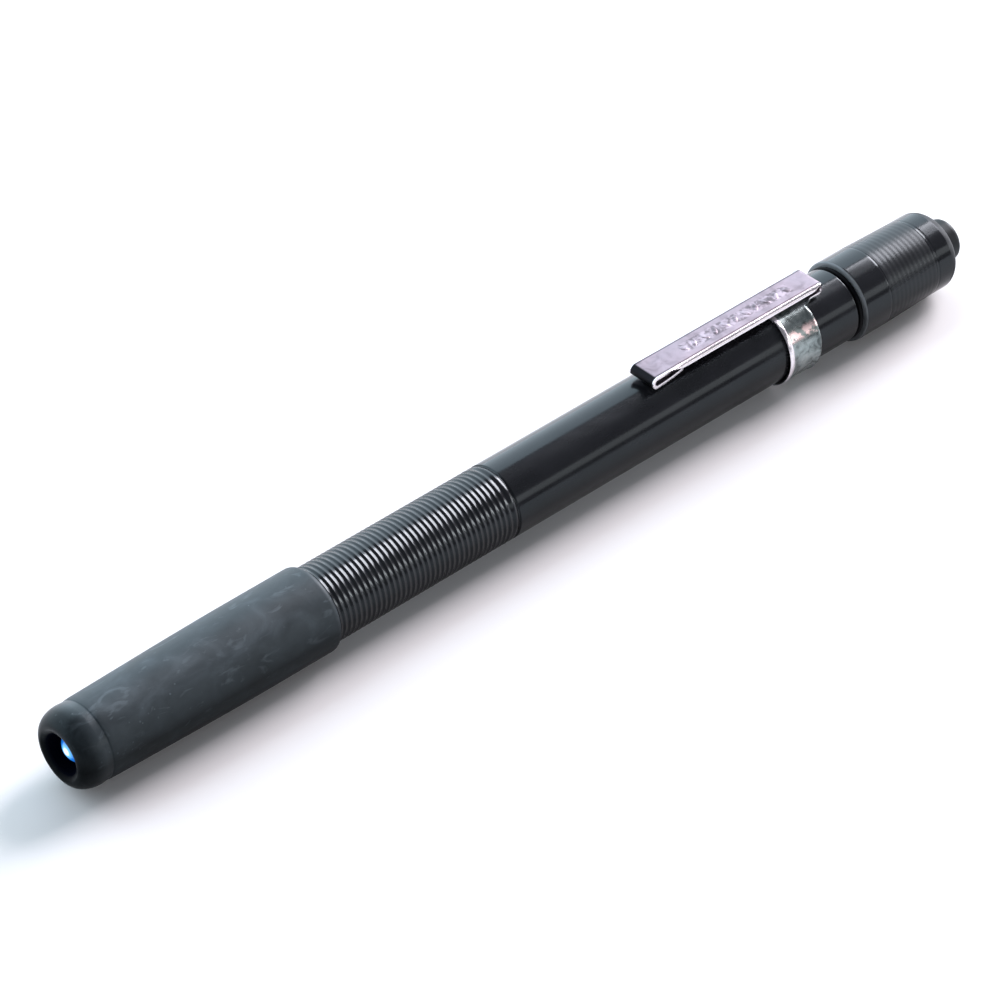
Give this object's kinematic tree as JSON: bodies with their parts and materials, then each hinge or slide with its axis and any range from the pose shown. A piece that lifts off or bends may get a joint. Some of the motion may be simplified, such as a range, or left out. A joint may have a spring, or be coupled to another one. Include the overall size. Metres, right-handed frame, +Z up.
{
  "type": "counterfeit detector pen",
  "caption": "Slim ultraviolet penlight for checking banknotes, with a rubber nose boot, ridged grip, sprung pocket clip, screw-on tail cap and push button.",
  "frame": {"origin": "on the surface that the pen lies on, under the middle of its overall length and on its centre plane", "axes": "+X along the pen's axis towards the tail button, +Z up through the pocket clip, +Y completes the right-handed frame; the Y = 0 plane halves the pen"},
  "size_m": [0.1554, 0.0118, 0.0132],
  "materials": {
    "boot_rubber": "matte",
    "seal_rubber": "satin",
    "lamp_lens": "polished",
    "brass": "satin",
    "lead_steel": "satin",
    "circuit_board": "satin",
    "resistor_body": "satin",
    "black_anodised": "gloss",
    "cell_wrapper": "satin",
    "plated_steel": "gloss",
    "spring_steel": "satin",
    "insulator": "matte",
    "button_rubber": "satin"
  },
  "bodies": {
    "barrel": {"barrel_tube": "black_anodised", "nose_boot": "boot_rubber", "lens_oring": "seal_rubber", "uv_led": "lamp_lens", "led_holder": "brass", "led_anode": "lead_steel", "led_cathode": "lead_steel", "driver_board": "circuit_board", "ballast_resistor": "resistor_body", "front_contact": "brass", "cell_front": "cell_wrapper", "cell_middle": "cell_wrapper", "cell_rear": "cell_wrapper", "tail_oring": "seal_rubber", "clip_band": "plated_steel"},
    "clip": {"clip_arm": "plated_steel"},
    "contact": {"contact_disc": "brass", "cell_spring": "spring_steel"},
    "cap": {"tail_cap": "black_anodised", "retaining_ring": "spring_steel", "switch_housing": "insulator", "button_spring": "spring_steel", "button_seal": "seal_rubber"},
    "button": {"push_button": "button_rubber", "switch_pin": "brass"}
  },
  "joints": [
    {"name": "clip_flex", "type": "hinge", "parent": "barrel", "child": "clip", "pos_m": [0.05003, 0, 0.0123], "axis": [0, 1, 0], "range_deg": [0, 5], "stiffness_Nm_per_rad": 1, "springref_deg": -1.15},
    {"name": "cap_advance", "type": "slide", "parent": "barrel", "child": "contact", "axis": [1, 0, 0], "range_m": [0, 0.00525]},
    {"name": "cap_turn", "type": "hinge", "parent": "contact", "child": "cap", "pos_m": [0.065, 0, 0.00592], "axis": [1, 0, 0], "range_deg": [0, 2530]},
    {"name": "button_press", "type": "slide", "parent": "cap", "child": "button", "axis": [-1, 0, 0], "range_m": [0, 0.0012], "stiffness_N_per_m": 900, "springref_m": -0.001, "deforming": ["button_spring"]}
  ],
  "couplings": [
    {"joint": "cap_turn", "follows": "cap_advance", "rad_per_m": 8377.6}
  ]
}
